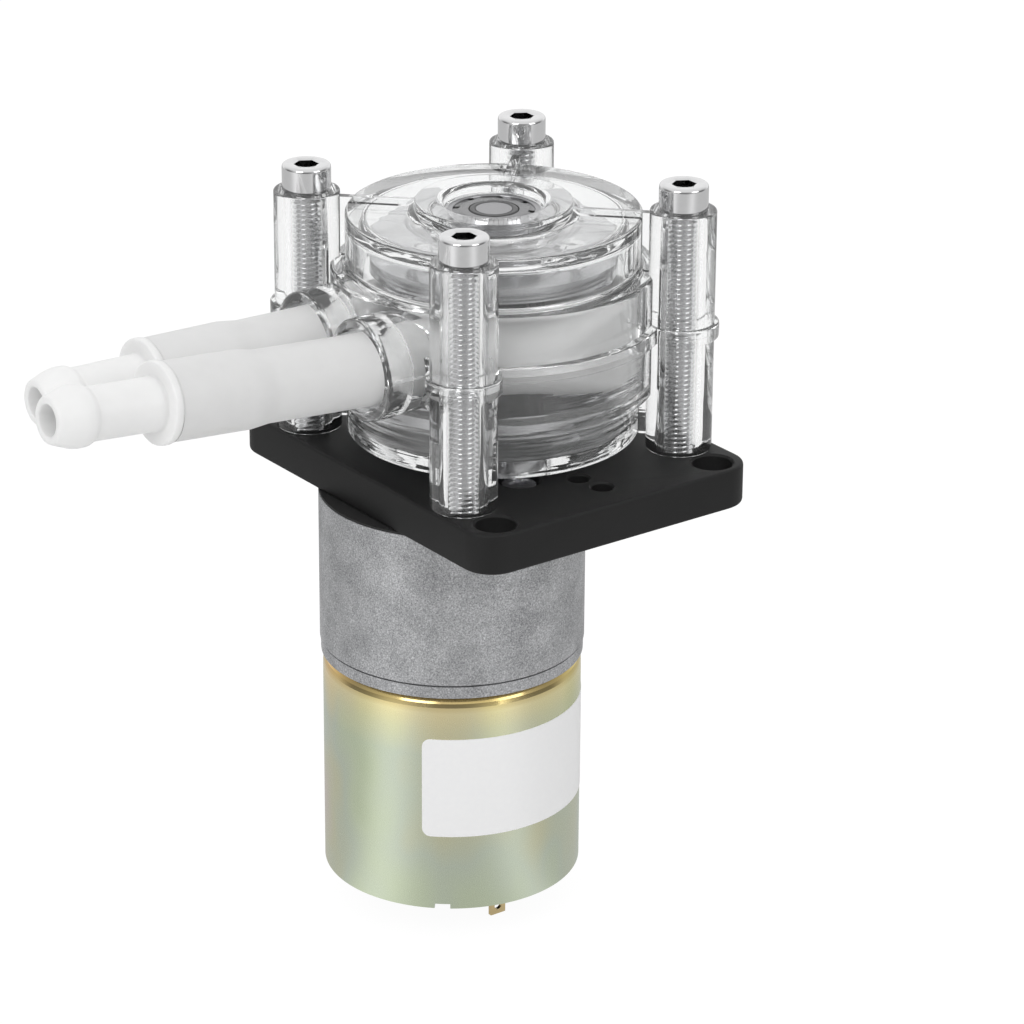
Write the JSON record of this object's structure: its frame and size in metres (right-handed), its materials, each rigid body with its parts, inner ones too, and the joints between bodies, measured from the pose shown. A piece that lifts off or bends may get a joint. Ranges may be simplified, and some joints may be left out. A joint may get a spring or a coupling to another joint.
{
  "type": "peristaltic metering pump",
  "caption": "Small peristaltic metering pump: clear roller head with a soft tube and barbed fittings, on a black panel plate over an eccentric gear motor.",
  "frame": {"origin": "on the rotor axis, in the plate's underside, which is the face that meets the panel", "axes": "+Z along the rotor axis from the motor to the pump head, -X the way both tubes leave, Y across the tubes"},
  "size_m": [0.0992, 0.0594, 0.1068],
  "materials": {
    "black_nylon": "matte moulded black nylon",
    "rubber_gasket": "matte black gasket",
    "clear_plastic": "clear polished moulded plastic",
    "bolt_nickel": "bright nickel plated steel",
    "silicone": "milky translucent silicone",
    "white_plastic": "satin white moulded plastic",
    "ground_steel": "ground steel",
    "turned_aluminium": "turned aluminium",
    "roller_steel": "polished stainless steel",
    "bearing_steel": "ground bearing steel",
    "cage_brass": "pressed brass",
    "shield_steel": "dark pressed steel",
    "cast_zinc": "grey die-cast zinc with a speckled skin",
    "bush_bronze": "sintered bronze",
    "zinc_plate": "yellow passivated zinc plating with iridescent tints",
    "end_cap_plastic": "matte black moulded plastic",
    "tab_brass": "bright brass",
    "gear_brass": "cut brass"
  },
  "bodies": {
    "pump_base": {"mounting_plate": "black_nylon", "gearbox_gasket": "rubber_gasket", "lower_housing": "clear_plastic", "upper_housing": "clear_plastic", "housing_bolts": "bolt_nickel", "pump_tube": "silicone", "front_fitting": "white_plastic", "rear_fitting": "white_plastic", "bearing_outer_ring": "bearing_steel", "bearing_shields": "shield_steel", "gearbox_housing": "cast_zinc", "output_bush": "bush_bronze", "gearbox_end_plate": "cast_zinc", "gearbox_screws": "ground_steel", "motor_can": "zinc_plate", "motor_end_cap": "end_cap_plastic", "motor_terminals": "tab_brass", "gear_axles": "ground_steel"},
    "rotor": {"output_shaft": "ground_steel", "output_gear": "ground_steel", "rotor_hub": "turned_aluminium", "rotor_lower_plate": "ground_steel", "rotor_upper_plate": "ground_steel", "roller_pins": "roller_steel", "bearing_inner_ring": "bearing_steel"},
    "roller_1": {"roller_1": "roller_steel"},
    "roller_2": {"roller_2": "roller_steel"},
    "roller_3": {"roller_3": "roller_steel"},
    "ball_set": {"bearing_balls": "bearing_steel", "bearing_cage": "cage_brass"},
    "first_gear": {"gear_1": "gear_brass"},
    "second_gear": {"gear_2": "gear_brass"},
    "motor_rotor": {"motor_shaft": "ground_steel"}
  },
  "joints": [
    {"name": "rotor_spin", "type": "hinge", "parent": "pump_base", "child": "rotor", "pos_m": [0, 0, 0.0234], "axis": [0, 0, 1], "continuous": true, "deforming": ["pump_tube"]},
    {"name": "roller_1_spin", "type": "hinge", "parent": "rotor", "child": "roller_1", "pos_m": [0.0056, 0.0097, 0.0234], "axis": [0, 0, 1], "continuous": true},
    {"name": "roller_2_spin", "type": "hinge", "parent": "rotor", "child": "roller_2", "pos_m": [-0.0112, 0, 0.0234], "axis": [0, 0, 1], "continuous": true},
    {"name": "roller_3_spin", "type": "hinge", "parent": "rotor", "child": "roller_3", "pos_m": [0.0056, -0.0097, 0.0234], "axis": [0, 0, 1], "continuous": true},
    {"name": "ball_set_spin", "type": "hinge", "parent": "pump_base", "child": "ball_set", "pos_m": [0, 0, 0.0371], "axis": [0, 0, 1], "continuous": true},
    {"name": "second_gear_spin", "type": "hinge", "parent": "pump_base", "child": "second_gear", "pos_m": [-0.00146, 0.00827, -0.0136], "axis": [0, 0, 1], "continuous": true},
    {"name": "first_gear_spin", "type": "hinge", "parent": "pump_base", "child": "first_gear", "pos_m": [-0.00985, 0.0079, -0.0178], "axis": [0, 0, 1], "continuous": true},
    {"name": "motor_spin", "type": "hinge", "parent": "pump_base", "child": "motor_rotor", "pos_m": [-0.007, 0, -0.0195], "axis": [0, 0, 1], "continuous": true}
  ],
  "couplings": [
    {"joint": "roller_1_spin", "follows": "rotor_spin", "ratio": -3.0364},
    {"joint": "roller_2_spin", "follows": "rotor_spin", "ratio": -3.0364},
    {"joint": "roller_3_spin", "follows": "rotor_spin", "ratio": -3.0364},
    {"joint": "ball_set_spin", "follows": "rotor_spin", "ratio": 0.38889},
    {"joint": "second_gear_spin", "follows": "rotor_spin", "ratio": -3.2},
    {"joint": "first_gear_spin", "follows": "rotor_spin", "ratio": 10.24},
    {"joint": "motor_spin", "follows": "rotor_spin", "ratio": -32.768}
  ]
}
